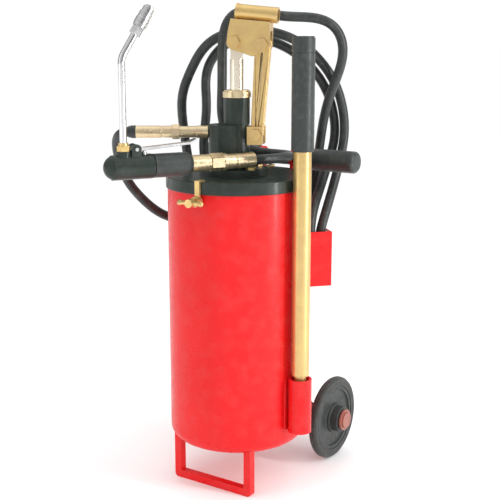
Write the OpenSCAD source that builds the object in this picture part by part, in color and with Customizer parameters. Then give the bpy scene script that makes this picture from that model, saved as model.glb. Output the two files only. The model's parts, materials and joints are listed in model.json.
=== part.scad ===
// Wheeled hand grease pump: a closed drum on two wheels and a foot, with a hand lever
// pump on its lid, a coiled delivery hose and a trigger gun resting on the lid.
// Units are millimetres. +Z is up, +X runs along the axle, -Y is the front.
// The origin is the centre of the underside of the front foot bar.

/* [Drum] */
// Outside diameter of the drum
drum_d = 210; // [180:1:260]
// Height of the drum's underside above the ground
drum_z = 69; // [60:1:90]
// Height of the drum's rim above the ground
rim_z = 474; // [380:1:560]
// Sheet thickness of the drum
drum_wall = 1.5; // [1:0.1:3]
// Outside radius of the drum's bottom corner
drum_corner_r = 18; // [8:1:30]
// Distance from the foot bar back to the drum axis
drum_y = 65; // [50:1:70]

/* [Lid] */
// Outside diameter of the lid skirt
lid_d = 215; // [185:1:265]
// Thickness of the lid plate
lid_t = 3; // [2:0.5:5]
// Turn of the two lid clamps about the drum axis, in degrees
clamp_turn = 4; // [-10:1:10]
// Depth of the lid skirt
skirt_h = 18; // [12:1:30]

/* [Undercarriage] */
// Side of the square bar of the foot
foot_bar = 12; // [8:1:16]
// Distance between the two foot legs, centre to centre
foot_w = 131; // [100:1:160]
// Diameter of the wheels
wheel_d = 135; // [110:1:150]
// Width of the tyre
tyre_w = 14; // [14:1:24]
// Distance from the middle of the part to each wheel's centre plane
wheel_x = 95; // [92:1:110]
// Distance from the drum axis back to the axle
axle_back = 137; // [134:1:150]
// Diameter of the axle
axle_d = 16; // [12:1:20]
// Length of each wheel hub
hub_len = 40; // [30:1:50]

/* [Handlebar] */
// Height of the handlebar axis
bar_z = 494; // [480:1:520]
// Distance from the drum axis back to the handlebar
bar_back = 118; // [116:1:130]
// Half the length of the handlebar
bar_half = 141; // [120:1:160]
// Diameter of the handlebar tube
bar_d = 22; // [18:1:26]
// Diameter of the handlebar grips
bar_grip_d = 34; // [28:1:38]

/* [Pump] */
// Diameter of the piston rod
rod_d = 20; // [16:1:24]
// Diameter of the upper pump body
column_d = 39; // [34:1:46]
// Diameter of the lower pump body
chest_d = 57; // [50:1:64]
// Height of the top of the pump body
column_top_z = 594; // [570:1:620]
// Diameter of the pump tube inside the drum
pump_tube_d = 38; // [32:1:44]
// Inside diameter of the pump tube
pump_tube_id = 33; // [28:1:38]
// Height of the outlet axis
outlet_z = 543; // [530:1:550]

/* [Lever linkage] */
// Turn of the lever linkage about the drum axis, in degrees from +X
link_turn = 22; // [0:1:40]
// Sideways position of the upper link pivot
fulcrum_x = 40; // [36:1:46]
// Height of the upper link pivot
fulcrum_z = 671; // [660:1:680]
// Sideways position of the lower link pivot
link_foot_x = 31; // [29:1:34]
// Height of the lower link pivot
link_foot_z = 540; // [535:1:545]
// Height of the piston rod pivot
rod_pin_z = 674; // [665:1:684]
// Diameter of the three linkage pins
pin_d = 10; // [8:1:12]
// Upward tilt of the lever socket
socket_tilt = 5.5; // [0:0.5:10]

/* [Lever] */
// Outside diameter of the lever tube
lever_d = 26.5; // [22:0.5:30]
// Diameter of the lever's reduced lower end
lever_end_d = 18; // [16:0.5:20]
// Height of the lever's top
lever_top_z = 683; // [600:1:720]
// Distance from the drum axis to the stowed lever
lever_r = 121.5; // [121:0.5:126]
// Direction of the stowed lever, in degrees from +X
lever_turn = -5; // [-20:1:10]

/* [Hose] */
// Outside diameter of the hose
hose_d = 14.8; // [12:0.2:16]
// Turn of the outlet, hose and gun about the drum axis, in degrees from +X
outlet_turn = 34; // [20:1:50]

/* [Gun] */
// Height of the gun's axis
gun_z = 505; // [500:1:515]
// Diameter of the gun's grip
gun_grip_d = 34; // [28:1:38]
// Diameter of the spout tube
spout_d = 10; // [8:1:12]
// Bend of the spout's upper end
spout_bend = 32; // [0:1:45]

/* [Hidden] */
$fn = 64;
slip = 0.05;
drum_r = drum_d / 2;
lid_r = lid_d / 2;
lid_top_z = rim_z + 3 + lid_t;
wheel_r = wheel_d / 2;
axle_r = axle_d / 2;
bush_r = axle_r + slip;
rod_r = rod_d / 2;
pin_r = pin_d / 2;
flange_z = lid_top_z + 1;
flange_top_z = flange_z + 9;
flange_r = 46;
flange_bolt_r = 38;
clamp_z = 453;
clamp_r = 107.7;
nut_r = 9;
hose_r = hose_d / 2;
hook_turn = 14;
hook_z = 302;
hook_h = 86;
chest_x = -14;
outlet_x = -43;
gun_x = 25;
gun_y = -35;
gun_turn = 205.9;
spout_s = 200;
spout_rise = 140;
spout_bend_r = 30;
coupler_start = 28;
trigger_s = 184;
trigger_up = 25;
plunger_s = 170;
foot_valve_z = 84;

// ---------------------------------------------------------------- placing helpers

module at_drum() translate([0, drum_y, 0]) children();
module at_outlet() at_drum() rotate([0, 0, outlet_turn]) children();
module at_linkage() at_drum() rotate([0, 0, link_turn]) children();
module at_hook() at_outlet() rotate([0, 0, hook_turn]) children();
module at_gun() at_outlet() translate([gun_x, gun_y, gun_z]) rotate([0, 0, gun_turn]) children();
module at_spout() at_gun() translate([spout_s, 0, 0]) children();
module along_x() rotate([0, 90, 0]) children();
module along_y() rotate([-90, 0, 0]) children();

// A ring standing on its lower face
module ring(outer, inner, h) difference() {
    cylinder(r = outer, h = h);
    translate([0, 0, -1]) cylinder(r = inner, h = h + 2);
}

// A hexagonal prism, given the width across its flats
module hex_prism(flats, h) linear_extrude(h) circle(r = flats / sqrt(3), $fn = 6);

// A bolt lying along +Y through the origin, with its nut on the far side
module cross_bolt(r, half, flats) {
    translate([0, -half, 0]) along_y() cylinder(r = r, h = 2 * half + 7);
    translate([0, -half - 5, 0]) along_y() hex_prism(flats, 5);
    translate([0, half + 0.6, 0]) along_y() hex_prism(flats, 6);
}

// ---------------------------------------------------------------- swept round wire

function unit(v) = v / norm(v);
function tangent(p, i) = unit(p[min(i + 1, len(p) - 1)] - p[max(i - 1, 0)]);
function flatten_to(n, t) = unit(n - (n * t) * t);

// Directions across the path, carried along it without twisting
function carried(p, first) = [
    for (i = 0, n = flatten_to(first, tangent(p, 0)); i < len(p);
         i = i + 1, n = i < len(p) ? flatten_to(n, tangent(p, i)) : n) n
];

function section(c, t, n, r, sides) = [
    for (k = [0 : sides - 1])
        c + r * (cos(360 * k / sides) * n + sin(360 * k / sides) * cross(t, n))
];

module sweep(p, r, sides, first) {
    n = carried(p, first);
    points = [for (i = [0 : len(p) - 1]) each section(p[i], tangent(p, i), n[i], r, sides)];
    last = (len(p) - 1) * sides;
    walls = [
        for (i = [0 : len(p) - 2], k = [0 : sides - 1])
            let (a = i * sides + k, b = i * sides + (k + 1) % sides)
            each [[a, b + sides, b], [a, a + sides, b + sides]]
    ];
    caps = [[for (k = [0 : sides - 1]) k], [for (k = [sides - 1 : -1 : 0]) last + k]];
    polyhedron(points, concat(walls, caps));
}

// The same, as a tube with a bore
module sweep_tube(p, outer, inner, sides, first) {
    n = carried(p, first);
    rings = len(p);
    count = rings * sides;
    points = [
        for (r = [outer, inner], i = [0 : rings - 1]) each section(p[i], tangent(p, i), n[i], r, sides)
    ];
    function at(wall, i, k) = wall * count + i * sides + k % sides;
    walls = [
        for (i = [0 : rings - 2], k = [0 : sides - 1]) each [
            [at(0, i, k), at(0, i + 1, k + 1), at(0, i, k + 1)],
            [at(0, i, k), at(0, i + 1, k), at(0, i + 1, k + 1)],
            [at(1, i, k), at(1, i, k + 1), at(1, i + 1, k + 1)],
            [at(1, i, k), at(1, i + 1, k + 1), at(1, i + 1, k)]
        ]
    ];
    top = rings - 1;
    ends = [
        for (k = [0 : sides - 1]) each [
            [at(0, 0, k), at(0, 0, k + 1), at(1, 0, k + 1), at(1, 0, k)],
            [at(0, top, k), at(1, top, k), at(1, top, k + 1), at(0, top, k + 1)]
        ]
    ];
    polyhedron(points, concat(walls, ends));
}

// A smooth curve through the given points
function curve_point(a, b, c, d, t) = 0.5 * (2 * b + (c - a) * t
    + (2 * a - 5 * b + 4 * c - d) * t * t + (3 * b - a - 3 * c + d) * t * t * t);

function smooth_path(p, steps) = [
    for (i = [0 : len(p) - 2], k = [0 : steps - 1])
        curve_point(p[max(i - 1, 0)], p[i], p[i + 1], p[min(i + 2, len(p) - 1)], k / steps),
    p[len(p) - 1]
];

module coil_spring(mean_r, wire_r, length, turns) {
    steps = 10;
    path = [
        for (i = [0 : turns * steps])
            [mean_r * cos(360 * i / steps), mean_r * sin(360 * i / steps),
             wire_r + (length - 2 * wire_r) * i / (turns * steps)]
    ];
    sweep(path, wire_r, 6, [1, 0, 0]);
}

// ---------------------------------------------------------------- drum and lid

// A solid of the drum's outline, grown by a margin
module drum_outline(margin) {
    r = drum_r + margin;
    c = drum_corner_r + margin;
    rotate_extrude() {
        translate([0, drum_z - margin]) square([r - c, c]);
        translate([0, drum_z + drum_corner_r]) square([r, rim_z - drum_z - drum_corner_r]);
        intersection() {
            translate([r - c, drum_z + drum_corner_r]) circle(c);
            translate([0, drum_z - margin]) square([r, c]);
        }
    }
}

module drum_shell() color("red") at_drum() difference() {
    drum_outline(0);
    drum_outline(-drum_wall);
    translate([0, 0, rim_z - drum_wall - 1]) cylinder(r = drum_r - drum_wall, h = 10);
}

module lid() color("dimgray") at_drum() difference() {
    union() {
        translate([0, 0, lid_top_z - skirt_h]) ring(lid_r, drum_r + 0.7, skirt_h);
        translate([0, 0, lid_top_z - lid_t]) cylinder(r = lid_r - 0.5, h = lid_t);
    }
    translate([0, 0, rim_z]) cylinder(r = 28, h = 20);
    rotate([0, 0, link_turn + 45]) for (a = [0 : 90 : 270])
        rotate([0, 0, a]) translate([flange_bolt_r, 0, rim_z]) cylinder(r = 4.2, h = 20);
}

module lid_gasket() color("black") at_drum() translate([0, 0, rim_z])
    ring(drum_r + 0.5, drum_r - 4, 3);

module lever_pocket() color("red") at_drum() rotate([0, 0, lever_turn]) difference() {
    translate([lever_r, 0, 99]) cylinder(r = 17.5, h = 83);
    translate([lever_r, 0, 102.5]) cylinder(r = 14, h = 90);
    rotate([0, 0, -lever_turn]) cylinder(r = drum_r + 0.02, h = rim_z);
}

module hose_hook() color("red") at_hook() translate([0, 0, hook_z]) difference() {
    union() {
        translate([drum_r - 8, -20, 0]) cube([49, 3, hook_h]);
        translate([drum_r + 38, -20, 0]) cube([3, 35, hook_h]);
        translate([drum_r - 8, -20, 0]) cube([49, 35, 3]);
    }
    translate([0, 0, -1]) cylinder(r = drum_r + 0.02, h = hook_h + 2);
}

// ---------------------------------------------------------------- undercarriage

module foot_outline() {
    outer = foot_w + foot_bar;
    difference() {
        union() {
            translate([-outer / 2, 6]) square([outer, 84]);
            translate([-outer / 2 + 6, 0]) square([outer - 12, 12]);
            for (side = [-1, 1]) translate([side * (outer / 2 - 6), 6]) circle(6);
        }
        translate([-foot_w / 2 + foot_bar / 2, foot_bar]) square([foot_w - foot_bar, 90]);
    }
}

module foot_frame() color("red") difference() {
    translate([0, foot_bar / 2, 0]) rotate([90, 0, 0]) linear_extrude(foot_bar) foot_outline();
    at_drum() drum_outline(0.02);
}

module axle_bracket_plate() linear_extrude(5) difference() {
    union() {
        polygon([[48, 61], [axle_back, wheel_r - 13], [axle_back, wheel_r + 13], [84, 132]]);
        translate([axle_back, wheel_r]) circle(13);
    }
    translate([axle_back, wheel_r]) circle(axle_r + 0.02);
}

module axle_brackets() color("red") at_drum() difference() {
    for (side = [-1, 1]) translate([side * 60 - 2.5, 0, 0])
        rotate([90, 0, 90]) axle_bracket_plate();
    drum_outline(0.02);
}

module axle() color("firebrick") at_drum() translate([-wheel_x - 26, axle_back, wheel_r])
    along_x() cylinder(r = axle_r, h = 2 * wheel_x + 52);

module axle_washers() color("silver") at_drum() for (side = [-1, 1], end = [-1, 1])
    translate([side * wheel_x + end * (hub_len / 2 + 1.1) - 0.9, axle_back, wheel_r])
        along_x() ring(14, bush_r, 1.8);

// The end cap presses on to the axle and keeps the wheel in place
module axle_cap_shape() difference() {
    union() {
        cylinder(r = 17, h = 3);
        translate([0, 0, 3]) cylinder(r = 13, h = 3);
    }
    translate([0, 0, -1]) cylinder(r = axle_r + 0.02, h = 5.02);
}

module axle_caps() color("saddlebrown") at_drum() for (side = [-1, 1])
    translate([side * (wheel_x + hub_len / 2 + 2.1), axle_back, wheel_r])
        rotate([0, side * 90, 0]) axle_cap_shape();

module tyre_shape() rotate_extrude() {
    translate([wheel_r - 15, -tyre_w / 2]) square([9, tyre_w]);
    translate([wheel_r - 7, -tyre_w / 2 + 6]) square([7, tyre_w - 12]);
    for (end = [-1, 1]) translate([wheel_r - 6, end * (tyre_w / 2 - 6)]) circle(6);
}

module wheel_core_shape() rotate_extrude() {
    translate([wheel_r - 21, -tyre_w / 2 + 1]) square([6, tyre_w - 2]);
    translate([20, -3]) square([wheel_r - 40, 6]);
    translate([bush_r, -hub_len / 2]) square([13, hub_len]);
    translate([20, -7]) square([4, 14]);
}

module at_wheel(side) at_drum() translate([side * wheel_x, axle_back, wheel_r])
    along_x() children();

module tyre_left() color("black") at_wheel(-1) tyre_shape();
module tyre_right() color("black") at_wheel(1) tyre_shape();
module wheel_core_left() color("dimgray") at_wheel(-1) wheel_core_shape();
module wheel_core_right() color("dimgray") at_wheel(1) wheel_core_shape();

// ---------------------------------------------------------------- handlebar

module handlebar() color("dimgray") at_drum() translate([-bar_half + 2, bar_back, bar_z])
    along_x() ring(bar_d / 2, bar_d / 2 - 2, 2 * bar_half - 4);

module handlebar_bracket_plate() linear_extrude(5) difference() {
    union() {
        polygon([[84, 400], [112, 424], [126, bar_z - 10], [bar_back + 10, bar_z + 10],
                 [106, bar_z + 4], [106, 456], [84, 456]]);
        translate([bar_back, bar_z]) circle(bar_d / 2 + 5);
    }
    translate([bar_back, bar_z]) circle(bar_d / 2 + 0.02);
}

module handlebar_brackets() color("red") at_drum() difference() {
    for (side = [-1, 1]) translate([side * 30 - 2.5, 0, 0])
        rotate([90, 0, 90]) handlebar_bracket_plate();
    cylinder(r = drum_r + 0.02, h = 458);
}

module handlebar_grips() color("black") at_drum() for (side = [-1, 1])
    translate([side * bar_half, bar_back, bar_z]) rotate([0, -side * 90, 0]) difference() {
        union() {
            translate([0, 0, 6]) cylinder(r = bar_grip_d / 2, h = 98);
            cylinder(r = bar_grip_d / 2 - 6, h = 8);
            rotate_extrude() translate([bar_grip_d / 2 - 6, 6]) intersection() {
                circle(6);
                translate([0, -6]) square(12);
            }
        }
        translate([0, 0, 2]) cylinder(r = bar_d / 2 + 0.02, h = 110);
    }

// ---------------------------------------------------------------- lid clamps

module clamp_bracket() {
    translate([clamp_r, -4, clamp_z + 5]) cube([4, 8, lid_top_z + 2.6 - clamp_z - 5]);
    translate([96, -4, lid_top_z + 0.05]) cube([clamp_r - 95, 8, 2.55]);
    translate([clamp_r + 0.5, 0, clamp_z]) along_x() ring(7.5, 4.05, 10.5);
}

module at_clamp(side) at_drum() rotate([0, 0, clamp_turn + side * 90]) children();

module clamp_brackets() color("gold") for (side = [-1, 1]) at_clamp(side) clamp_bracket();

// A screw with a pressure pad inside and a cross bar outside
module clamp_screw() {
    translate([drum_r + 0.05, 0, clamp_z]) along_x() cylinder(r = 5.5, h = 2.3);
    translate([drum_r + 1, 0, clamp_z]) along_x() cylinder(r = 4, h = 19);
    translate([drum_r + 18, 0, clamp_z]) along_x() cylinder(r = 6, h = 12);
    translate([drum_r + 24, -18, clamp_z]) along_y() cylinder(r = 3, h = 36);
    for (side = [-1, 1]) translate([drum_r + 24, side * 17.5, clamp_z]) sphere(r = 4.2);
}

module clamp_screw_front() color("gold") at_clamp(-1) clamp_screw();
module clamp_screw_rear() color("gold") at_clamp(1) clamp_screw();

// ---------------------------------------------------------------- inside the drum

module follower_plate() color("silver") at_drum() translate([0, 0, 300]) {
    ring(98, pump_tube_d / 2 + 0.5, 2);
    translate([0, 0, 2]) ring(98, 96, 12);
    translate([0, 0, 2]) ring(pump_tube_d / 2 + 2.5, pump_tube_d / 2 + 0.5, 14);
}

module follower_seal() color("black") at_drum() translate([0, 0, 300])
    ring(drum_r - drum_wall - 0.1, 98.02, 10);

module pump_tube() color("silver") at_drum() translate([0, 0, foot_valve_z + 8])
    ring(pump_tube_d / 2, pump_tube_id / 2, 418);

// The foot valve screws over the lower end of the pump tube
module foot_valve_body() color("goldenrod") at_drum() translate([0, 0, foot_valve_z]) difference() {
    union() {
        cylinder(r = 24, h = 26);
        for (a = [0 : 120 : 240]) rotate([0, 0, a]) translate([17, 0, -10]) cylinder(r = 3, h = 11);
    }
    translate([0, 0, 8]) cylinder(r = pump_tube_d / 2 + 0.02, h = 30);
    translate([0, 0, -1]) cylinder(r = 7, h = 20);
}

module foot_valve_ball() color("silver") at_drum()
    translate([0, 0, foot_valve_z + 8 + sqrt(81 - 49) + 0.03]) sphere(r = 9);

// ---------------------------------------------------------------- pump

module pump_gasket() color("sienna") at_drum() translate([0, 0, lid_top_z]) difference() {
    ring(flange_r, 21, 1);
    rotate([0, 0, link_turn + 45]) for (a = [0 : 90 : 270])
        rotate([0, 0, a]) translate([flange_bolt_r, 0, -1]) cylinder(r = 4.2, h = 4);
}

module flange_bolts() color("gold") at_drum() rotate([0, 0, link_turn + 45])
    for (a = [0 : 90 : 270]) rotate([0, 0, a]) translate([flange_bolt_r, 0, 0]) {
        translate([0, 0, flange_top_z - 0.48]) hex_prism(13, 4.2);
        translate([0, 0, rim_z - 6]) cylinder(r = 4, h = flange_top_z - rim_z + 7);
        translate([0, 0, rim_z - 3.6]) hex_prism(13, 6.5);
    }

module pump_body() color("dimgray") at_drum() difference() {
    union() {
        translate([0, 0, flange_z]) cylinder(r = flange_r, h = 9);
        cylinder_between(26, flange_z, 512);
        cylinder_between(column_d / 2, flange_z, column_top_z);
        rotate([0, 0, outlet_turn]) {
            translate([chest_x, 0, 0]) cylinder_between(chest_d / 2, flange_top_z - 1, 554);
            translate([outlet_x, 0, outlet_z]) along_x() cylinder(r = 9.5, h = 20);
        }
    }
    cylinder_between(pump_tube_d / 2 + 0.02, flange_z - 1, 510.02);
    cylinder_between(13, 500, 556);
    cylinder_between(rod_r + slip, 550, 600);
    cylinder_between(16, 580, 600);
    rotate([0, 0, outlet_turn]) {
        translate([outlet_x - 1, 0, outlet_z]) along_x() cylinder(r = 7.5, h = 20);
        translate([outlet_x, 0, outlet_z]) along_x() cylinder(r = 4, h = 40);
    }
    rotate([0, 0, link_turn]) translate([17.5, -20, 521]) cube([20, 40, 34.5]);
    rotate([0, 0, link_turn + 45]) for (a = [0 : 90 : 270])
        rotate([0, 0, a]) translate([flange_bolt_r, 0, flange_z - 1]) cylinder(r = 4.2, h = 12);
    rotate([0, 0, link_turn + 45]) for (a = [0 : 90 : 270])
        rotate([0, 0, a]) translate([flange_bolt_r, 0, flange_top_z - 0.5]) cylinder(r = nut_r, h = 9);
}

module cylinder_between(r, low, high) translate([0, 0, low]) cylinder(r = r, h = high - low);

module gland_nut() color("khaki") at_drum() difference() {
    union() {
        cylinder_between(21, column_top_z + 0.05, column_top_z + 9);
        cylinder_between(19, column_top_z + 8, column_top_z + 11);
        cylinder_between(15.95, 584.05, column_top_z + 1);
    }
    cylinder_between(rod_r + slip, 570, 620);
    for (a = [0 : 90 : 270]) rotate([0, 0, a + 20]) translate([18.5, -2, column_top_z + 1.5])
        cube([5, 4, 5.5]);
}

module rod_seal() color("black") at_drum() translate([0, 0, 580.02]) ring(15.95, rod_r + slip, 4);

module piston_rod() color("silver") at_drum() {
    cylinder_between(6, 128, 156);
    cylinder_between(rod_r, 152, rod_pin_z - 24);
    rotate([0, 0, link_turn]) translate([0, 0, rod_pin_z]) rotate([90, 0, 0])
        translate([0, 0, -6.5]) linear_extrude(13) difference() {
            union() {
                circle(13);
                translate([-8, -25]) square([16, 25]);
            }
            translate([-2.4, 0]) circle(5.7);
            translate([2.4, 0]) circle(5.7);
            translate([-2.4, -5.7]) square([4.8, 11.4]);
        }
}

module piston() color("silver") at_drum() difference() {
    cylinder_between(pump_tube_id / 2 - slip, 130, 151.9);
    cylinder_between(6.02, 120, 160);
    translate([0, 0, 138]) ring(30, 13.5, 6);
    for (a = [0 : 90 : 270]) rotate([0, 0, a]) translate([9.8, 0, 120]) cylinder(r = 2, h = 40);
}

module piston_seal() color("black") at_drum() translate([0, 0, 138.05])
    ring(pump_tube_id / 2 - 0.02, 13.55, 5.9);

// ---------------------------------------------------------------- linkage

module link_anchor() color("gold") at_linkage() difference() {
    translate([17.55, -13, 525]) cube([24, 26, 27]);
    translate([20.6, -7.3, 520]) cube([30, 14.6, 40]);
    translate([link_foot_x, -20, link_foot_z]) along_y() cylinder(r = pin_r + 0.02, h = 40);
    translate([37, -14, 521]) rotate([0, 35, 0]) cube([20, 28, 9]);
}

// The link's two straps, side by side between the fork's cheeks
module link_strap() {
    rise = fulcrum_z - link_foot_z;
    run = fulcrum_x - link_foot_x;
    translate([link_foot_x, 0, link_foot_z]) rotate([90, 0, 0]) linear_extrude(5.4) difference() {
        union() {
            circle(9);
            translate([run, rise]) circle(11.5);
            polygon([[-9, 0], [9, 0], [run + 11.5, rise], [run - 11.5, rise]]);
        }
        circle(pin_r + slip);
        translate([run, rise]) circle(pin_r + 0.02);
    }
}

module link_straps() color("gold") at_linkage() {
    translate([0, 7, 0]) link_strap();
    translate([0, -1.6, 0]) link_strap();
}

module link_foot_pin() color("gold") at_linkage() translate([link_foot_x, 0, link_foot_z])
    cross_bolt(pin_r, 13.1, 16);

module fulcrum_pin() color("gold") at_linkage() translate([fulcrum_x, 0, fulcrum_z])
    cross_bolt(pin_r, 14.6, 17);

module rod_pin() color("gold") at_linkage() translate([-1.2, 0, rod_pin_z])
    cross_bolt(pin_r, 14.6, 17);

module fork_cheek_outline() difference() {
    union() {
        translate([-1.2, rod_pin_z]) circle(11);
        translate([fulcrum_x, fulcrum_z]) circle(11.5);
        polygon([[-12.2, rod_pin_z], [-3, rod_pin_z - 10.8], [fulcrum_x - 14, fulcrum_z - 17],
                 [fulcrum_x - 2, fulcrum_z - 11.3], [fulcrum_x + 11.5, fulcrum_z],
                 [fulcrum_x + 12, 703], [-6, 708], [-10, 690]]);
    }
    translate([-1.2, rod_pin_z]) circle(pin_r + 0.02);
    translate([fulcrum_x, fulcrum_z]) circle(pin_r + slip);
}

module at_socket() translate([31, 0, 715]) rotate([0, socket_tilt, 0]) along_x() children();

module lever_fork() color("gold") at_linkage() difference() {
    union() {
        translate([0, 14.5, 0]) rotate([90, 0, 0]) linear_extrude(29) fork_cheek_outline();
        at_socket() translate([0, 0, -31.5]) cylinder(r = 11.5, h = 63);
        at_socket() translate([0, 0, -31.5]) cylinder(r = 12.3, h = 4);
    }
    translate([-30, -7.4, 640]) cube([100, 14.8, 50]);
    at_socket() translate([0, 0, -24.5]) cylinder(r = lever_end_d / 2 + 0.15, h = 60);
}

// ---------------------------------------------------------------- stowed lever

module at_lever() at_drum() rotate([0, 0, lever_turn]) translate([lever_r, 0, 0]) children();

module lever_tube() color("gold") at_lever() difference() {
    union() {
        cylinder_between(lever_end_d / 2, 102.6, 187.5);
        cylinder_between(lever_d / 2 - 1, 187, 189);
        cylinder_between(lever_d / 2, 188.5, lever_top_z - 5);
    }
    cylinder_between(lever_d / 2 - 2.6, 205, lever_top_z);
    cylinder_between(lever_end_d / 2 - 3, 90, 210);
}

module lever_grip() color("dimgray") at_lever() difference() {
    union() {
        cylinder_between(16.5, 524, lever_top_z - 24);
        cylinder_between(15.5, 522, lever_top_z - 23);
        cylinder_between(16.5, lever_top_z - 22, lever_top_z - 2);
        cylinder_between(15, lever_top_z - 23, lever_top_z);
    }
    cylinder_between(lever_d / 2 + 0.02, 510, lever_top_z - 4.98);
}

// ---------------------------------------------------------------- outlet

module outlet_valve_ball() color("silver") at_outlet()
    translate([outlet_x + 19 - sqrt(30.25 - 16) - 0.03, 0, outlet_z]) sphere(r = 5.5);

module outlet_valve_spring() color("silver") at_outlet()
    translate([outlet_x + 5.05, 0, outlet_z]) along_x() coil_spring(3.9, 0.5, 5.9, 4);

module outlet_nipple() color("khaki") at_outlet() translate([outlet_x, 0, outlet_z])
    rotate([0, -90, 0]) difference() {
        union() {
            translate([0, 0, -5]) cylinder(r = 7.45, h = 6);
            translate([0, 0, 0.05]) cylinder(r = 9.3, h = 17);
            translate([0, 0, 17]) cylinder(r = 8.6, h = 27);
            translate([0, 0, 43]) hex_prism(19.5, 11);
        }
        translate([0, 0, -10]) cylinder(r = 3, h = 70);
        translate([0, 0, 47]) cylinder(r = 5.5, h = 20);
    }

module outlet_ferrule() color("khaki") at_outlet() translate([outlet_x - 54.05, 0, outlet_z])
    rotate([0, -90, 0]) difference() {
        union() {
            translate([0, 0, -6]) cylinder(r = 5.45, h = 7);
            cylinder(r = 9.2, h = 13);
            translate([0, 0, 12]) cylinder(r = 8.4, h = 5);
            translate([0, 0, 16]) cylinder(r = 9.2, h = 38);
        }
        translate([0, 0, -10]) cylinder(r = 2.6, h = 70);
        translate([0, 0, 18]) cylinder(r = hose_r + 0.1, h = 40);
    }

module hose_collar() color("black") at_outlet() translate([outlet_x - 108.1, 0, outlet_z])
    rotate([0, -90, 0]) difference() {
        union() {
            cylinder(r = 9.6, h = 7);
            translate([0, 0, 6]) cylinder(r = 8.8, h = 5);
        }
        translate([0, 0, -1]) cylinder(r = hose_r + 0.7, h = 20);
    }

// ---------------------------------------------------------------- hose

// From the outlet round the back of the drum and up behind the handlebar
first_turn = [
    [-116, 0, 543], [-140, 0, 543], [-152, 0, 543], [-162, 0.4, 543], [-172, 4, 541.5],
    [-179, 12, 537], [-183, 24, 526], [-184, 38, 507], [-179, 54, 478], [-167, 68, 449], [-128, 92, 405], [-87, 116, 386],
    [-42, 130, 370], [5, 132, 358], [49, 121, 349], [84, 100, 343], [112, 70, 341],
    [122, 51, 343], [125, 37, 352], [126, 30, 374], [136, 36, 409], [161, 86, 484],
    [170, 100, 546], [150, 94, 617], [95, 78, 674]
];
// Over the top, down on the left and round again
second_turn = [
    [23, 68, 692], [-44, 70, 673], [-82, 84, 608], [-88, 92, 572], [-80, 106, 491],
    [-64, 107, 440], [-22, 112, 362], [8, 114, 334], [43, 106, 320], [76, 85, 315],
    [99, 57, 314], [108, 37, 316], [112, 23, 328], [113, 20, 352], [113, 20, 384],
    [118, 36, 418], [141, 90, 475], [156, 110, 536], [135, 104, 610], [76, 92, 666]
];
// The innermost turn, which crosses over the others and runs highest
third_turn = [
    [1, 84, 680], [-43, 88, 643], [-50, 93, 609], [-49, 98, 572], [-55, 110, 497],
    [-36, 111, 440], [-16, 113, 404], [12, 113, 374], [46, 104, 350], [75, 86, 341],
    [95, 64, 335], [106, 48, 337], [108, 38, 350], [108, 36, 378], [117, 80, 437],
    [126, 100, 469], [130, 104, 501], [139, 84, 572], [160, 66, 641], [161, 60, 668],
    [152, 56, 692], [128, 53, 708], [62, 48, 713]
];
// Down behind the pump and round its right side to the gun
gun_end = [
    [30, 47, 719], [4, 46, 720], [-12, 46, 709], [-20, 47, 688], [-23, 48, 640], [-23, 49, 599],
    [-24, 52, 562], [-14, 60, 534], [8, 66, 514], [40, 64, 505], [68, 46, 504],
    [80, 20, 505], [68, -8, 505], [46, -24.8, 505], [24, -35.5, 505], [-8, -51, 505]
];

module hose() color("black") at_outlet()
    sweep(smooth_path(concat(first_turn, second_turn, third_turn, gun_end), 3),
          hose_r, 10, [0, 0, 1]);

// ---------------------------------------------------------------- gun

module gun_ferrule() color("khaki") at_gun() along_x() difference() {
    union() {
        cylinder(r = 11, h = 30);
        translate([0, 0, 29]) cylinder(r = 9.8, h = 4);
        translate([0, 0, 32]) cylinder(r = 11, h = 14);
    }
    translate([0, 0, -1]) cylinder(r = hose_r + 0.1, h = 40);
    translate([0, 0, 30]) cylinder(r = 6.05, h = 20);
}

module gun_swivel() color("khaki") at_gun() along_x() difference() {
    union() {
        translate([0, 0, 40]) cylinder(r = 6, h = 8);
        translate([0, 0, 46.1]) cylinder(r = 12.5, h = 5);
        translate([0, 0, 51]) hex_prism(23, 19);
        translate([0, 0, 69]) cylinder(r = 10, h = 4);
        translate([0, 0, 72]) cylinder(r = 12, h = 28);
        translate([0, 0, 99]) cylinder(r = 8, h = 9);
    }
    translate([0, 0, 30]) cylinder(r = 3, h = 90);
}

module gun_body() color("dimgray") at_gun() difference() {
    union() {
        translate([100.05, 0, 0]) along_x() cylinder(r = 12.5, h = 62);
        translate([160, 0, 0]) along_x() cylinder(r = gun_grip_d / 2 + 0.5, h = 58);
        translate([212, 0, 0]) intersection() {
            sphere(r = gun_grip_d / 2 + 0.5);
            translate([0, -20, -20]) cube(40);
        }
        translate([spout_s, 0, 0]) cylinder(r = 10.5, h = 22);
        for (side = [-1, 1]) translate([trigger_s, side * 8.5 + 1.5, 0])
            rotate([90, 0, 0]) linear_extrude(3) {
                translate([-7, 0]) square([14, trigger_up]);
                translate([0, trigger_up]) circle(7);
            }
    }
    translate([90, 0, 0]) along_x() cylinder(r = 8.02, h = 18.1);
    translate([90, 0, 0]) along_x() cylinder(r = 3, h = spout_s - 90);
    translate([spout_s, 0, -3]) cylinder(r = 3, h = 30);
    translate([spout_s, 0, 9]) cylinder(r = spout_d / 2 + slip, h = 30);
    translate([plunger_s, 0, -9]) cylinder(r = 4.05, h = 40);
    translate([trigger_s, -20, trigger_up]) along_y() cylinder(r = 2.52, h = 40);
    translate([trigger_s - 12, -7, 17.6]) cube([17, 14, 30]);
}

module gun_grip() color("black") at_gun() translate([104, 0, 0]) along_x() difference() {
    union() {
        cylinder(r = gun_grip_d / 2 - 1.5, h = 55.9);
        translate([0, 0, 2]) cylinder(r = gun_grip_d / 2, h = 51.9);
    }
    translate([0, 0, -1]) cylinder(r = 12.52, h = 60);
}

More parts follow.
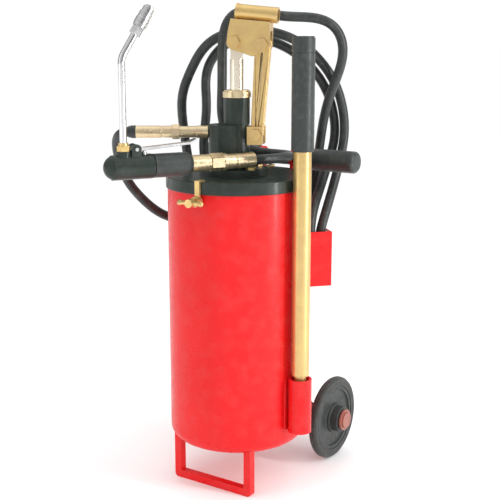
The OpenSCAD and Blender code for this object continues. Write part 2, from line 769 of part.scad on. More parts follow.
module gun_trigger() color("silver") at_gun()
    translate([trigger_s, 6.8, trigger_up]) rotate([90, 0, 0]) linear_extrude(13.6) difference() {
        union() {
            circle(4.8);
            polygon([[0, -3], [0, 4.4], [-14, 1.8], [-80, 6.4], [-92, 11], [-92, 8],
                     [-80, 3], [-14, -2]]);
        }
        circle(2.5 + slip);
    }

module trigger_pin() color("silver") at_gun()
    translate([trigger_s, -11.5, trigger_up]) along_y() cylinder(r = 2.5, h = 23);

module gun_plunger() color("silver") at_gun() translate([plunger_s, 0, 4]) {
    cylinder(r = 4, h = 16);
    translate([0, 0, 15]) cylinder(r = 2.6, h = 3.7);
}

module gun_plunger_spring() color("silver") at_gun()
    translate([plunger_s, 0, -8.95]) coil_spring(3.2, 0.5, 12.9, 6);

// The spout rises from the gun's head and leans back over the grip near its top
module at_spout_top() at_spout() translate([0, 0, spout_rise]) children();

module past_bend() translate([-spout_bend_r, 0, 0]) rotate([0, -spout_bend, 0])
    translate([spout_bend_r, 0, 0]) children();

module spout_nut() color("gold") at_spout() difference() {
    union() {
        translate([0, 0, 22.05]) hex_prism(17, 8);
        translate([0, 0, 29]) cylinder(r = 7, h = 5);
    }
    translate([0, 0, 20]) cylinder(r = spout_d / 2 + slip, h = 20);
}

// The tube's centre line: straight, round the bend, then straight again
spout_path = [
    [0, 0, 9.05 - spout_rise],
    for (a = [0 : spout_bend / 6 : spout_bend])
        [spout_bend_r * (cos(a) - 1), 0, spout_bend_r * sin(a)],
    [spout_bend_r * (cos(spout_bend) - 1) - (coupler_start + 12) * sin(spout_bend), 0,
     spout_bend_r * sin(spout_bend) + (coupler_start + 12) * cos(spout_bend)]
];

module spout_tube() color("silver") at_spout_top()
    sweep_tube(spout_path, spout_d / 2, 2.5, 24, [0, 1, 0]);

module coupler_body() color("silver") at_spout_top() past_bend()
    translate([0, 0, coupler_start]) difference() {
        union() {
            hex_prism(14.5, 12);
            translate([0, 0, 11]) cylinder(r = 6.6, h = 16);
        }
        translate([0, 0, -1]) cylinder(r = spout_d / 2 + 0.02, h = 13.02);
        translate([0, 0, 5]) cylinder(r = 2.5, h = 30);
    }

module coupler_sleeve() color("silver") at_spout_top() past_bend()
    translate([0, 0, coupler_start + 12.05]) difference() {
        union() {
            cylinder(r = 9, h = 22);
            translate([0, 0, 3]) cylinder(r = 9.6, h = 10);
            translate([0, 0, 21]) cylinder(r = 8, h = 9);
        }
        translate([0, 0, -1]) cylinder(r = 6.62, h = 28);
        translate([0, 0, 26]) cylinder(r = 5.6, h = 10);
    }

module coupler_jaws() color("silver") at_spout_top() past_bend()
    translate([0, 0, coupler_start + 27.1]) difference() {
        union() {
            cylinder(r = 6.6, h = 11);
            translate([0, 0, 10]) cylinder(r = 5.55, h = 7.8);
        }
        translate([0, 0, -1]) cylinder(r = 2.5, h = 20);
        translate([0, 0, 9.8]) cylinder(r = 3.4, h = 10);
    }

// ---------------------------------------------------------------- drawing

drum_shell();
lid();
lid_gasket();
lever_pocket();
hose_hook();
foot_frame();
axle_brackets();
axle();
axle_washers();
axle_caps();
tyre_left();
tyre_right();
wheel_core_left();
wheel_core_right();
handlebar();
handlebar_brackets();
handlebar_grips();
clamp_brackets();
clamp_screw_front();
clamp_screw_rear();
follower_plate();
follower_seal();
pump_gasket();
flange_bolts();
pump_body();
gland_nut();
rod_seal();
pump_tube();
foot_valve_body();
foot_valve_ball();
piston_rod();
piston();
piston_seal();
link_anchor();
link_straps();
link_foot_pin();
fulcrum_pin();
rod_pin();
lever_fork();
lever_tube();
lever_grip();
outlet_valve_ball();
outlet_valve_spring();
outlet_nipple();
outlet_ferrule();
hose_collar();
hose();
gun_ferrule();
gun_swivel();
gun_body();
gun_grip();
gun_trigger();
trigger_pin();
gun_plunger();
gun_plunger_spring();
spout_nut();
spout_tube();
coupler_body();
coupler_sleeve();
coupler_jaws();
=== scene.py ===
"""Looks for the wheeled hand grease pump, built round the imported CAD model.

The CAD nodes keep their places and shapes. Most of them are dressed with a material and
rounded edges; the soft or moulded ones are replaced by finer pieces built here.
Lengths in the tables are millimetres, as in the CAD source, and are turned into metres.
"""

import json
import math

import bpy
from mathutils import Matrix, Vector


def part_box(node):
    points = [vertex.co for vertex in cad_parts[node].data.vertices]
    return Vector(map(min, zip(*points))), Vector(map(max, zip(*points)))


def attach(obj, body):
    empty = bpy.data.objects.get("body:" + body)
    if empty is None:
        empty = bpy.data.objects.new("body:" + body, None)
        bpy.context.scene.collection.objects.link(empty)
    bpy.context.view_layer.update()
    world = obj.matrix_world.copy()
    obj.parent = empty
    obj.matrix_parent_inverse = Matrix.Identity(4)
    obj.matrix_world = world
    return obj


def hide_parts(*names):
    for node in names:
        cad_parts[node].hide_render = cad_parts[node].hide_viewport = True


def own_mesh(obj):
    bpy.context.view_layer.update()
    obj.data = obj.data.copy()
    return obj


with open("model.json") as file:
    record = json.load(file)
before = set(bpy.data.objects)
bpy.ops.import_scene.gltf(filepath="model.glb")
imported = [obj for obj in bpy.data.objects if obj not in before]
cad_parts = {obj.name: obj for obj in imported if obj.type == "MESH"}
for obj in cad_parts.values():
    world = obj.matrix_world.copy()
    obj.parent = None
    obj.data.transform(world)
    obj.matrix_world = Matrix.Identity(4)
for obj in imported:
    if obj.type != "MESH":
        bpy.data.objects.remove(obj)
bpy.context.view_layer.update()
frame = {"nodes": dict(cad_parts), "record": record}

MM = 0.001
OUTLET_TURN = math.radians(34)  # outlet, hose and gun, about the drum axis
HOOK_TURN = math.radians(48)
LEVER_TURN = math.radians(-5)

drum_low, drum_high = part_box("drum_shell")
DRUM_AXIS = Vector(((drum_low.x + drum_high.x) / 2, (drum_low.y + drum_high.y) / 2, 0))
DRUM_R = (drum_high.x - drum_low.x) / 2
STATIC = "drum_and_pump"


# ---------------------------------------------------------------- material helpers

class Material:
    """A node material with a Principled shader, and short calls to add nodes to it."""

    def __init__(self, name):
        self.data = bpy.data.materials.new(name)
        self.data.use_nodes = True
        self.tree = self.data.node_tree
        self.shader = self.tree.nodes["Principled BSDF"]
        self.place = self.add("ShaderNodeTexCoord").outputs["Object"]

    def add(self, kind, **settings):
        """A new node, with its settings."""
        node = self.tree.nodes.new(kind)
        for key, value in settings.items():
            setattr(node, key, value)
        return node

    def put(self, socket, value):
        """Links a node's output to the socket, or gives the socket a number or colour."""
        if isinstance(value, bpy.types.NodeSocket):
            self.tree.links.new(value, socket)
        elif socket.type == "RGBA" and len(value) == 3:
            socket.default_value = (*value, 1)
        else:
            socket.default_value = value

    def set(self, **inputs):
        """Feeds the shader's inputs. Underscores in the names stand for spaces."""
        for key, value in inputs.items():
            self.put(self.shader.inputs[key.replace("_", " ")], value)

    def stretched(self, scale):
        """The object's coordinates, scaled by axis."""
        node = self.add("ShaderNodeMapping")
        self.put(node.inputs["Vector"], self.place)
        node.inputs["Scale"].default_value = scale
        return node.outputs["Vector"]

    def noise(self, size, detail=4.0, roughness=0.55, stretch=None):
        """Noise from 0 to 1 whose blotches are about size metres across, unless stretched."""
        node = self.add("ShaderNodeTexNoise")
        self.put(node.inputs["Vector"], self.stretched(stretch) if stretch else self.place)
        node.inputs["Scale"].default_value = 1 / size
        node.inputs["Detail"].default_value = detail
        node.inputs["Roughness"].default_value = roughness
        return node.outputs["Fac"]

    def spread(self, value, low, high, start=0.0, end=1.0):
        """Maps value from start..end to low..high, and stops there."""
        node = self.add("ShaderNodeMapRange")
        self.put(node.inputs["Value"], value)
        for name, number in (("From Min", start), ("From Max", end), ("To Min", low), ("To Max", high)):
            node.inputs[name].default_value = number
        return node.outputs["Result"]

    def mix(self, amount, first, second):
        """Two colours mixed. The mix node's colour sockets are 6 and 7, and 2 on its way out."""
        node = self.add("ShaderNodeMix", data_type="RGBA")
        self.put(node.inputs[0], amount)
        self.put(node.inputs[6], first)
        self.put(node.inputs[7], second)
        return node.outputs[2]

    def math(self, operation, first, second):
        """An operation on two numbers, its result kept between 0 and 1."""
        node = self.add("ShaderNodeMath", operation=operation, use_clamp=True)
        self.put(node.inputs[0], first)
        self.put(node.inputs[1], second)
        return node.outputs[0]

    def edges(self, radius, threshold=0.02, full=0.25):
        """1 on sharp edges and 0 on flat or gently curved faces."""
        bevel = self.add("ShaderNodeBevel", samples=4)
        bevel.inputs["Radius"].default_value = radius
        normal = self.add("ShaderNodeNewGeometry").outputs["Normal"]
        dot = self.add("ShaderNodeVectorMath", operation="DOT_PRODUCT")
        self.put(dot.inputs[0], bevel.outputs["Normal"])
        self.put(dot.inputs[1], normal)
        turned = self.math("SUBTRACT", 1.0, dot.outputs["Value"])
        return self.spread(turned, 0, 1, threshold, full)

    def bump(self, height, depth, after=None):
        """Relief of the given depth in metres."""
        node = self.add("ShaderNodeBump")
        node.inputs["Distance"].default_value = depth
        node.inputs["Strength"].default_value = 1.0
        self.put(node.inputs["Height"], height)
        if after:
            self.put(node.inputs["Normal"], after)
        return node.outputs["Normal"]


DUST = (0.35, 0.32, 0.29)
RUBBER_DUST = (0.3, 0.29, 0.27)
BARE_ZINC = (0.86, 0.84, 0.78)
PLATE_LINES = (60, 60, 900)  # how the noise is squeezed to make machining lines


def paint(name, colour, shade, under, roughness, coat):
    """Sprayed enamel: slight mottling and waviness, rubbed edges with the primer showing."""
    m = Material(name)
    mottle = m.noise(0.09, 3)
    body = m.mix(m.spread(mottle, 0, 1, 0.3, 0.7), colour, shade)
    rub = m.math("MULTIPLY", m.edges(0.0012, 0.12, 0.4), m.spread(m.noise(0.006, 6), 0, 1, 0.5, 0.62))
    body = m.mix(m.math("MULTIPLY", rub, 0.7), body, under)
    dust = m.spread(m.noise(0.02, 5), 0, 0.06, 0.45, 0.75)
    body = m.mix(dust, body, DUST)
    m.set(Base_Color=body)
    fine = m.noise(0.012, 5)
    m.set(Roughness=m.spread(fine, roughness - 0.05, roughness + 0.09, 0.35, 0.65))
    m.set(Specular_IOR_Level=0.22, Coat_Weight=coat)
    m.set(Coat_Roughness=m.spread(m.noise(0.03, 3), 0.10, 0.2, 0.3, 0.7))
    m.set(Normal=m.bump(m.noise(0.06, 1), 0.00015))
    return m.data


def plated(name, colour, second, dark, roughness):
    """Passivated zinc: two tones in blotches, dark specks, faint machining lines, bright edges."""
    m = Material(name)
    cloud = m.noise(0.018, 4)
    body = m.mix(m.spread(cloud, 0, 1, 0.35, 0.65), colour, second)
    body = m.mix(m.spread(m.noise(0.0035, 5), 0, 0.16, 0.5, 0.72), body, dark)
    body = m.mix(m.math("MULTIPLY", m.edges(0.0008), 0.4), body, BARE_ZINC)
    m.set(Base_Color=body, Metallic=0.85)
    grain = m.noise(1.0, 2, 0.5, PLATE_LINES)
    m.set(Roughness=m.spread(m.noise(0.006, 5), roughness - 0.07, roughness + 0.1, 0.3, 0.7))
    m.set(Normal=m.bump(grain, 0.000015, m.bump(m.noise(0.0012, 2), 0.000006)))
    return m.data


def steel(name, colour, roughness, stain, lines=(80, 80, 1200)):
    """Bare turned or chromed steel: slight stains and faint lines from the lathe."""
    m = Material(name)
    body = m.mix(m.spread(m.noise(0.012, 5), 0, 0.5, 0.45, 0.75), colour, stain)
    m.set(Base_Color=body, Metallic=1.0)
    m.set(Roughness=m.spread(m.noise(0.008, 5), roughness - 0.04, roughness + 0.08, 0.3, 0.7))
    m.set(Normal=m.bump(m.noise(1.0, 2, 0.5, lines), 0.00002))
    return m.data


def moulded(name, colour, worn, roughness, grain, depth, sheen=0.0):
    """Rubber or plastic: fine moulded grain, paler rubbed edges and a little dust."""
    m = Material(name)
    body = m.mix(m.spread(m.noise(0.03, 4), 0, 1, 0.35, 0.7), colour, worn)
    body = m.mix(m.math("MULTIPLY", m.edges(0.001), 0.35), body, tuple(3 * c + 0.02 for c in worn))
    body = m.mix(m.spread(m.noise(0.009, 6), 0, 0.10, 0.5, 0.75), body, RUBBER_DUST)
    m.set(Base_Color=body)
    m.set(Roughness=m.spread(m.noise(0.011, 5), roughness - 0.06, roughness + 0.12, 0.35, 0.7))
    m.set(Specular_IOR_Level=0.5, Sheen_Weight=sheen, Sheen_Roughness=0.5)
    m.set(Normal=m.bump(m.noise(grain, 3), depth))
    return m.data


MATERIALS = {
    "red_paint": paint("red_enamel", (0.76, 0.010, 0.012), (0.70, 0.008, 0.010),
                       (0.16, 0.10, 0.09), 0.30, 0.10),
    "black_paint": paint("black_satin_paint", (0.014, 0.024, 0.018), (0.022, 0.033, 0.027),
                         (0.22, 0.21, 0.19), 0.36, 0.25),
    "yellow_zinc": plated("yellow_zinc_plate", (0.76, 0.55, 0.22), (0.70, 0.48, 0.21),
                          (0.42, 0.30, 0.13), 0.34),
    "pale_zinc": plated("pale_zinc_plate", (0.82, 0.70, 0.43), (0.72, 0.55, 0.36),
                        (0.45, 0.34, 0.2), 0.3),
    "chrome": steel("hard_chrome", (0.83, 0.83, 0.85), 0.12, (0.62, 0.60, 0.57), (30, 30, 500)),
    "bright_steel": steel("bright_turned_steel", (0.72, 0.72, 0.73), 0.24, (0.48, 0.46, 0.43)),
    "plain_steel": steel("drawn_steel", (0.52, 0.52, 0.53), 0.38, (0.30, 0.27, 0.24)),
    "brass": steel("plain_brass", (0.72, 0.52, 0.21), 0.3, (0.42, 0.27, 0.10)),
    "tyre_rubber": moulded("tyre_rubber", (0.018, 0.022, 0.020), (0.032, 0.036, 0.034),
                           0.62, 0.0009, 0.00005, 0.15),
    "wheel_plastic": moulded("wheel_plastic", (0.024, 0.030, 0.028), (0.036, 0.042, 0.040),
                             0.48, 0.0014, 0.00004),
    "cap_plastic": moulded("cap_plastic", (0.33, 0.115, 0.085), (0.26, 0.085, 0.065),
                           0.36, 0.0016, 0.00003),
    "grip_rubber": moulded("grip_rubber", (0.020, 0.027, 0.025), (0.032, 0.039, 0.037),
                           0.40, 0.0011, 0.00004, 0.1),
    "hose_rubber": moulded("hose_cover", (0.016, 0.021, 0.020), (0.028, 0.033, 0.031),
                           0.38, 0.0016, 0.00003, 0.1),
    "seal_rubber": moulded("seal_rubber", (0.03, 0.028, 0.025), (0.045, 0.042, 0.038),
                           0.6, 0.001, 0.00004),
}


# ---------------------------------------------------------------- placing helpers

def about_drum(turn, x, y, z):
    """A point given round the drum axis, in millimetres, as a point of the row frame."""
    c, s = math.cos(turn), math.sin(turn)
    return DRUM_AXIS + Vector((c * x - s * y, s * x + c * y, z)) * MM


def on_drum(angle, z, proud=0.0):
    """A point of the drum's wall at an angle in degrees."""
    a = math.radians(angle)
    r = DRUM_R + proud * MM
    return DRUM_AXIS + Vector((r * math.cos(a), r * math.sin(a), z * MM))


def unit_across(direction, hint):
    """The unit vector square to direction that lies nearest to hint."""
    side = hint - direction * hint.dot(direction)
    if side.length < 1e-6:
        side = direction.orthogonal()
    return side.normalized()


def smooth_path(points, steps):
    """A smooth curve through the points, in so many steps from each to the next."""
    path = []
    for i in range(len(points) - 1):
        a, b = points[max(i - 1, 0)], points[i]
        c, d = points[i + 1], points[min(i + 2, len(points) - 1)]
        for k in range(steps):
            t = k / steps
            path.append(0.5 * (2 * b + (c - a) * t + (2 * a - 5 * b + 4 * c - d) * t * t
                               + (3 * b - a - 3 * c + d) * t ** 3))
    path.append(points[-1])
    return path


def new_piece(name, verts, faces, slot, body):
    """A smooth mesh in a slot's material, riding on a body."""
    mesh = bpy.data.meshes.new(name)
    mesh.from_pydata([tuple(v) for v in verts], [], faces)
    mesh.validate()
    mesh.shade_smooth()
    piece = bpy.data.objects.new(name, mesh)
    bpy.context.scene.collection.objects.link(piece)
    mesh.materials.append(MATERIALS[slot])
    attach(piece, body)
    return piece


def tube_mesh(path, radius, sides):
    """Vertices and faces of a round tube along a path. radius is a number or one per point."""
    radii = radius if isinstance(radius, list) else [radius] * len(path)
    verts, faces = [], []
    side = Vector((0, 0, 1))
    for i, point in enumerate(path):
        ahead = (path[min(i + 1, len(path) - 1)] - path[max(i - 1, 0)]).normalized()
        side = unit_across(ahead, side)
        up = ahead.cross(side)
        for k in range(sides):
            a = 2 * math.pi * k / sides
            verts.append(point + radii[i] * (math.cos(a) * side + math.sin(a) * up))
    for i in range(len(path) - 1):
        for k in range(sides):
            a, b = i * sides + k, i * sides + (k + 1) % sides
            faces.append((a, b, b + sides, a + sides))
    last = (len(path) - 1) * sides
    faces.append(tuple(reversed(range(sides))))
    faces.append(tuple(range(last, last + sides)))
    return verts, faces


def lathe_mesh(profile, centre, axis, sides):
    """Vertices and faces of a closed profile of (radius, along) pairs in millimetres, turned
    about an axis."""
    axis = axis.normalized()
    first = axis.orthogonal().normalized()
    second = axis.cross(first)
    verts, faces = [], []
    for k in range(sides):
        a = 2 * math.pi * k / sides
        out = math.cos(a) * first + math.sin(a) * second
        verts += [centre + (out * r + axis * z) * MM for r, z in profile]
    n = len(profile)
    for k in range(sides):
        here, there = k * n, (k + 1) % sides * n
        for i in range(n):
            j = (i + 1) % n
            faces.append((here + i, there + i, there + j, here + j))
    return verts, faces


# ---------------------------------------------------------------- the CAD nodes' dress

SHARP_ANGLE = 32  # degrees between two faces, above which their edge is rounded
PLAIN_WIDTH = 0.4


def soften(piece, width):
    """Merges the CAD mesh's split edges, rounds its sharp ones, and shades it smoothly."""
    mesh = piece.data
    for name in ("custom_normal", "sharp_edge", "sharp_face"):
        if name in mesh.attributes:
            mesh.attributes.remove(mesh.attributes[name])
    mesh.shade_smooth()
    weld = piece.modifiers.new("weld", "WELD")
    weld.merge_threshold = 0.00001
    bevel = piece.modifiers.new("rounded_edges", "BEVEL")
    bevel.width = width * MM
    bevel.segments = 2
    bevel.limit_method = "ANGLE"
    bevel.angle_limit = math.radians(SHARP_ANGLE)
    bevel.use_clamp_overlap = True
    bevel.harden_normals = True
    piece.modifiers.new("flat_faces", "WEIGHTED_NORMAL").keep_sharp = True


EDGE_WIDTHS = {  # millimetres, where the plain width would look too sharp or too round
    "drum_shell": 0.3, "lid": 0.8, "lever_pocket": 0.5, "hose_hook": 0.6, "foot_frame": 1.2,
    "axle_brackets": 0.6, "handlebar_brackets": 0.6, "handlebar_grips": 1.5, "pump_body": 1.0,
    "lever_fork": 1.0, "link_straps": 0.8, "lever_grip": 1.0, "gun_body": 0.9, "gun_grip": 0.9,
    "wheel_core_left": 0.8, "wheel_core_right": 0.8, "axle_caps": 1.2,
}

slot_of = {entry["node"]: entry["material_slot"] for entry in frame["record"]["subparts"]}

# The rod's chrome is tinted warm, a painted reflection standing in for the tan and pink tones mirrored
# in it, so it is warmer than the slot's plain chrome.
ROD_CHROME_PAINTED_REFLECTION = steel("hard_chrome_painted_warm_reflection", (0.88, 0.79, 0.64), 0.14, (0.62, 0.52, 0.38), (30, 30, 500))
for node, piece in frame["nodes"].items():
    piece.data.materials.clear()
    piece.data.materials.append(ROD_CHROME_PAINTED_REFLECTION if node == "piston_rod" else MATERIALS[slot_of[node]])
    soften(piece, EDGE_WIDTHS.get(node, PLAIN_WIDTH))


# ---------------------------------------------------------------- hose

# The hose's middle line from outlet to gun, as in the CAD source, in millimetres about the drum
# axis. The whole of it is turned by OUTLET_TURN.
HOSE_POINTS = [
    (-116, 0, 543), (-140, 0, 543), (-152, 0, 543), (-162, 0.4, 543), (-172, 4, 541.5),
    (-179, 12, 537), (-183, 24, 526), (-184, 38, 507), (-179, 54, 478), (-167, 68, 449),
    (-128, 92, 405), (-87, 116, 386), (-42, 130, 370), (5, 132, 358), (49, 121, 349),
    (84, 100, 343), (112, 70, 341), (122, 51, 343), (125, 37, 352), (126, 30, 374),
    (136, 36, 409), (161, 86, 484), (170, 100, 546), (150, 94, 617), (95, 78, 674),
    (23, 68, 692), (-44, 70, 673), (-82, 84, 608), (-88, 92, 572), (-80, 106, 491),
    (-64, 107, 440), (-22, 112, 362), (8, 114, 334), (43, 106, 320), (76, 85, 315),
    (99, 57, 314), (108, 37, 316), (112, 23, 328), (113, 20, 352), (113, 20, 384),
    (118, 36, 418), (141, 90, 475), (156, 110, 536), (135, 104, 610), (76, 92, 666),
    (1, 84, 680), (-43, 88, 643), (-50, 93, 609), (-49, 98, 572), (-55, 110, 497),
    (-36, 111, 440), (-16, 113, 404), (12, 113, 374), (46, 104, 350), (75, 86, 341),
    (95, 64, 335), (106, 48, 337), (108, 38, 350), (108, 36, 378), (117, 80, 437),
    (126, 100, 469), (130, 104, 501), (139, 84, 572), (160, 66, 641), (161, 60, 668),
    (152, 56, 692), (128, 53, 708), (62, 48, 713), (30, 47, 719), (4, 46, 720),
    (-12, 46, 709), (-20, 47, 688), (-23, 48, 640), (-23, 49, 599), (-24, 52, 562),
    (-14, 60, 534), (8, 66, 514), (40, 64, 505), (68, 46, 504), (80, 20, 505),
    (68, -8, 505), (46, -24.8, 505), (24, -35.5, 505), (-8, -51, 505),
]
HOSE_R = 7.4
CURVE_STEPS = 8
FAIRING_STEP = 6
FAIRING_ROUNDS = 160


def faired(path, step, reach):
    """The path at even steps, with its bend spread evenly. reach gives how far a point may
    move from where it was. The last point stays that of the path."""
    start = [path[0]]
    for a, b in zip(path, path[1:]):
        while (b - start[-1]).length > step:
            along = (b - start[-1]).normalized()
            start.append(start[-1] + along * step)
    now = list(start)
    for _ in range(FAIRING_ROUNDS):
        was = list(now)
        for i in range(2, len(now) - 2):
            aim = (4 * (was[i - 1] + was[i + 1]) - was[i - 2] - was[i + 2]) / 6
            move = was[i].lerp(aim, 0.6) - start[i]
            limit = reach(start[i], i / len(now))
            now[i] = start[i] + (move * (limit / move.length) if move.length > limit else move)
    return now[:-2] + [path[-1]]


HELD_SLACK, FREE_SLACK = 0.6, 6.0  # how far the hose may move low down and high up
END_SLACK = 1.2
FREE_FROM, FREE_RISE = 400, 60  # the height it starts to be free at, and the rise to full slack
FIRST_HELD, LAST_HELD = 0.2, 0.86  # shares of its length that pass the drum and the pump


def hose_slack(point, share):
    """The hose's turns are free above the drum, and held where they pass hook, lid and pump."""
    if share > LAST_HELD or share < FIRST_HELD:
        return END_SLACK * MM
    free = min(1.0, max(0.0, (point.z / MM - FREE_FROM) / FREE_RISE))
    return (HELD_SLACK + (FREE_SLACK - HELD_SLACK) * free) * MM


hose_path = smooth_path([about_drum(OUTLET_TURN, *p) for p in HOSE_POINTS], CURVE_STEPS)
hose_path = faired(hose_path, FAIRING_STEP * MM, hose_slack)
verts, faces = tube_mesh(hose_path, HOSE_R * MM, sides=28)
hose = new_piece("hose_cover", verts, faces, "hose_rubber", STATIC)
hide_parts("hose")


# ---------------------------------------------------------------- tyres

TYRE_DEPTH = 15
SHOULDER = 5.0
GROOVE_SIDE = 2.0  # distance of each tread groove from the middle
GROOVE_DEPTH = 1.2


def rounded_tyre(name, node, body):
    """A thin tyre with a rounded tread, two grooves round it and a ring on each wall."""
    low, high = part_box(node)
    outer = (high.z - low.z) / 2 / MM
    half = (high.x - low.x) / 2 / MM
    inner = outer - TYRE_DEPTH
    wall = [(inner, -half + 0.6), (inner + 1.2, -half), (inner + 4.4, -half), (inner + 5.0, -half + 0.5),
            (inner + 5.6, -half + 0.5), (inner + 6.2, -half), (outer - SHOULDER, -half)]
    left = []
    for degrees in range(-75, 0, 15):
        a = math.radians(degrees)
        if half * math.sin(a) < -GROOVE_SIDE - 1.2:
            left.append((outer - SHOULDER + SHOULDER * math.cos(a), half * math.sin(a)))
    lip, floor = outer - 0.15, outer - GROOVE_DEPTH
    left += [(lip, -GROOVE_SIDE - 0.5), (floor, -GROOVE_SIDE - 0.35), (floor, -GROOVE_SIDE + 0.35),
             (lip, -GROOVE_SIDE + 0.5), (outer, -0.6)]
    profile = wall + left
    profile += [(r, -along) for r, along in reversed(profile)]
    verts, faces = lathe_mesh(profile, (low + high) / 2, Vector((1, 0, 0)), sides=120)
    tyre = new_piece(name, verts, faces, "tyre_rubber", body)
    tyre.modifiers.new("flat_faces", "WEIGHTED_NORMAL")
    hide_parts(node)


rounded_tyre("tyre_tread_left", "tyre_left", "wheel_left_body")
rounded_tyre("tyre_tread_right", "tyre_right", "wheel_right_body")


# ---------------------------------------------------------------- springs

WIRE_R = 0.5
TURN_STEPS = 24


def round_spring(node, axis, mean_r, length, turns, body):
    """A finely wound spring in place of a CAD one. Returns the piece and the end it stands on."""
    low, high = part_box(node)
    foot = (low + high) / 2 - axis * (length / 2 * MM)
    first = axis.orthogonal().normalized()
    second = axis.cross(first)
    path = []
    for i in range(turns * TURN_STEPS + 1):
        a = 2 * math.pi * i / TURN_STEPS
        up = WIRE_R + (length - 2 * WIRE_R) * i / (turns * TURN_STEPS)
        path.append(foot + (mean_r * (math.cos(a) * first + math.sin(a) * second) + up * axis) * MM)
    verts, faces = tube_mesh(path, WIRE_R * MM, sides=12)
    spring = new_piece(node + "_wound", verts, faces, "plain_steel", body)
    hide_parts(node)
    return spring, foot


outlet_axis = (about_drum(OUTLET_TURN, 1, 0, 0) - DRUM_AXIS).normalized()
round_spring("outlet_valve_spring", outlet_axis, mean_r=3.9, length=5.9, turns=4, body=STATIC)

upright = Vector((0, 0, 1))
plunger_spring, foot = round_spring("gun_plunger_spring", upright, mean_r=3.2, length=12.9, turns=6,
                                    body="gun")
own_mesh(plunger_spring)


# ---------------------------------------------------------------- weld beads

BEAD_R = 1.4
BEAD_STEP = 0.7
DRUM_CORNER = 18  # radius of the round between the drum's wall and its bottom
WELD_PROUD = 0.5  # how far a bead's middle stands out of the drum's wall


def weld_bead(name, points):
    """A rippled fillet of weld, partly sunk into the joint it runs along, under the paint."""
    dense = [points[0]]
    for a, b in zip(points, points[1:]):
        count = max(1, round((b - a).length / (BEAD_STEP * MM)))
        dense += [a.lerp(b, (k + 1) / count) for k in range(count)]
    radii = []
    for i in range(len(dense)):
        taper = min(1.0, (min(i, len(dense) - 1 - i) + 1) / 4)
        ripple = 1 + 0.11 * math.sin(i * 1.9) + 0.05 * math.sin(i * 0.61)
        radii.append(MM * BEAD_R * taper * ripple)
    verts, faces = tube_mesh(dense, radii, sides=10)
    new_piece(name, verts, faces, "red_paint", STATIC)


def drum_radius_at(z):
    """The drum's radius at a height in millimetres, following the corner at its bottom."""
    straight_from = drum_low.z / MM + DRUM_CORNER
    if z >= straight_from:
        return DRUM_R / MM
    drop = straight_from - z
    return DRUM_R / MM - DRUM_CORNER + math.sqrt(max(0.0, DRUM_CORNER ** 2 - drop ** 2))


def plate_weld(name, x, low, high):
    """A bead up one side of an upright plate at x that meets the drum's back wall."""
    points = []
    for k in range(25):
        z = low + (high - low) * k / 24
        r = drum_radius_at(z) + WELD_PROUD
        y = math.sqrt(r * r - x * x)
        points.append(DRUM_AXIS + Vector((x, y, z)) * MM)
    weld_bead(name, points)


def wall_weld(name, turn, offset, low, high):
    """A bead up the drum's wall, beside a part at a turn, offset sideways in millimetres."""
    angle = math.degrees(turn) + math.degrees(math.asin(offset * MM / DRUM_R))
    weld_bead(name, [on_drum(angle, z, WELD_PROUD) for z in range(low, high, 6)])


BRACKETS = [("axle", 60, 77, 122), ("handlebar", 30, 414, 454)]  # kind, x, weld's foot and top
PLATE_SIDE = 2.9  # from a bracket's middle to the bead beside it
POCKET_SIDE = 14.6  # from the lever pocket's middle to the bead beside it
POCKET_RISE = (102, 181)
HOOK_SIDES = (-20.4, -16.6)  # from the hook's middle to the beads at its plate
HOOK_RISE = (305, 386)
HOOK_SPREAD = range(-10, 8, 2)  # degrees round the drum from the hook's middle

for side, label in ((-1, "left"), (1, "right")):
    for face, tag in ((-1, "in"), (1, "out")):
        for kind, middle, low, high in BRACKETS:
            x = side * middle + face * PLATE_SIDE
            plate_weld(f"weld_{kind}_bracket_{label}_{tag}", x, low, high)

wall_weld("weld_lever_pocket_front", LEVER_TURN, -POCKET_SIDE, *POCKET_RISE)
wall_weld("weld_lever_pocket_rear", LEVER_TURN, POCKET_SIDE, *POCKET_RISE)
wall_weld("weld_hose_hook_front", HOOK_TURN, HOOK_SIDES[0], *HOOK_RISE)
wall_weld("weld_hose_hook_inner", HOOK_TURN, HOOK_SIDES[1], *HOOK_RISE)

hook_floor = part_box("hose_hook")[0].z / MM - 0.3
hook_angle = math.degrees(HOOK_TURN)
weld_bead("weld_hose_hook_floor", [on_drum(hook_angle + a, hook_floor, WELD_PROUD) for a in HOOK_SPREAD])


# ---------------------------------------------------------------- stage, light and camera

VIEW_TURN = math.radians(34)
FLOOR_HALF = 60.0


def soft_floor():
    """A wide, matt and nearly white floor."""
    mesh = bpy.data.meshes.new("floor")
    corners = [(x * FLOOR_HALF, y * FLOOR_HALF, 0) for x, y in ((-1, -1), (1, -1), (1, 1), (-1, 1))]
    mesh.from_pydata(corners, [], [(0, 1, 2, 3)])
    floor = bpy.data.objects.new("floor", mesh)
    bpy.context.scene.collection.objects.link(floor)
    m = Material("pale_floor")
    m.set(Base_Color=m.mix(m.noise(0.4, 2), (0.94, 0.94, 0.94), (0.96, 0.96, 0.96)), Roughness=0.9)
    m.set(Specular_IOR_Level=0.1)
    mesh.materials.append(m.data)


def area_light(name, place, target, width, height, power):
    """A soft lamp of so many metres and watts, turned to face the target."""
    light = bpy.data.lights.new(name, "AREA")
    light.shape = "RECTANGLE"
    light.size, light.size_y = width, height
    light.energy = power
    lamp = bpy.data.objects.new(name, light)
    bpy.context.scene.collection.objects.link(lamp)
    lamp.location = place
    lamp.rotation_euler = (Vector(target) - Vector(place)).to_track_quat("-Z", "Y").to_euler()


ROOM_LIGHT = 1.08  # how bright the surround is to matt surfaces
BACKDROP = 1.05  # how bright it is to the camera
CAMERA_BACK, CAMERA_SIDE, CAMERA_HEIGHT = 1.5, 0.0195, 0.681  # metres
CAMERA_DOWN = math.radians(12)


def from_view(right, back, up):
    """A point given as the camera sees it, in metres from the drum's axis: to the right, away
    from the camera, and up."""
    c, s = math.cos(VIEW_TURN), math.sin(VIEW_TURN)
    return DRUM_AXIS + Vector((c * right - s * back, s * right + c * back, up))


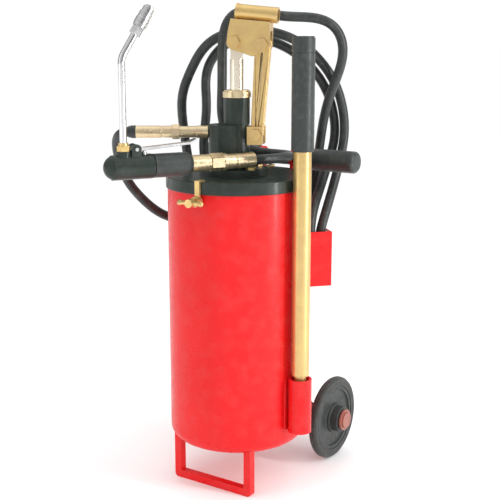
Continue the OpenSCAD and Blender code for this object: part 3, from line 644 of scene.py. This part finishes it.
def white_room():
    """A white surround. Shiny surfaces see it darker towards the right and the back, which
    gives the drum its soft upright highlight and the bare metal its dark streaks."""
    world = bpy.data.worlds.new("white_room")
    world.use_nodes = True
    nodes, links = world.node_tree.nodes, world.node_tree.links

    def ramp(value, start, end, low, high):
        """Goes softly from low to high while the value goes from start to end."""
        node = nodes.new("ShaderNodeMapRange")
        node.interpolation_type = "SMOOTHSTEP"
        for name, number in (("From Min", start), ("From Max", end), ("To Min", low), ("To Max", high)):
            node.inputs[name].default_value = number
        links.new(value, node.inputs["Value"])
        return node.outputs["Result"]

    def blend(amount, first, second):
        """Two brightnesses mixed. The mix node's number sockets are 2 and 3."""
        node = nodes.new("ShaderNodeMix")
        links.new(amount, node.inputs[0])
        for value, socket in ((first, node.inputs[2]), (second, node.inputs[3])):
            if isinstance(value, float):
                socket.default_value = value
            else:
                links.new(value, socket)
        return node.outputs[0]

    turn = nodes.new("ShaderNodeMapping")
    turn.inputs["Rotation"].default_value = (0, 0, -VIEW_TURN)
    links.new(nodes.new("ShaderNodeTexCoord").outputs["Generated"], turn.inputs["Vector"])
    parts = nodes.new("ShaderNodeSeparateXYZ")
    links.new(turn.outputs["Vector"], parts.inputs["Vector"])
    side, behind, above = parts.outputs["X"], parts.outputs["Y"], parts.outputs["Z"]
    front = ramp(side, -0.2, 0.55, ROOM_LIGHT * 0.45, ROOM_LIGHT * 0.18)
    seen = blend(ramp(behind, -0.5, 0.6, 0.0, 1.0), front, ROOM_LIGHT * 0.28)
    seen = blend(ramp(above, 0.35, 0.8, 0.0, 1.0), seen, ROOM_LIGHT * 0.7)
    rays = nodes.new("ShaderNodeLightPath")
    light = blend(rays.outputs["Is Glossy Ray"], ROOM_LIGHT, seen)
    light = blend(rays.outputs["Is Camera Ray"], light, BACKDROP)
    links.new(light, nodes["Background"].inputs["Strength"])
    nodes["Background"].inputs["Color"].default_value = (1, 1, 1, 1)
    bpy.context.scene.world = world


def set_stage():
    """Floor, lamps, surround and the camera at the photo's angle."""
    soft_floor()
    middle = from_view(0, 0, 0.35)
    area_light("strip_right", from_view(1.5, -0.75, 0.9), middle, 0.16, 1.7, 20)
    area_light("fill_left", from_view(-1.8, -1.0, 0.9), middle, 1.0, 1.8, 4)
    area_light("overhead", from_view(0, 0.2, 2.4), middle, 2.0, 2.0, 6)
    area_light("rim_back", from_view(0.9, 1.7, 1.3), middle, 1.0, 1.4, 3)
    white_room()
    bpy.context.scene.view_settings.view_transform = "Standard"
    data = bpy.data.cameras.new("camera")
    data.lens, data.sensor_width = 72, 36
    data.clip_start, data.clip_end = 0.01, 200
    camera = bpy.data.objects.new("camera", data)
    bpy.context.scene.collection.objects.link(camera)
    camera.location = from_view(CAMERA_SIDE, -CAMERA_BACK, CAMERA_HEIGHT)
    camera.rotation_euler = (math.pi / 2 - CAMERA_DOWN, 0, VIEW_TURN)
    bpy.context.scene.camera = camera


set_stage()
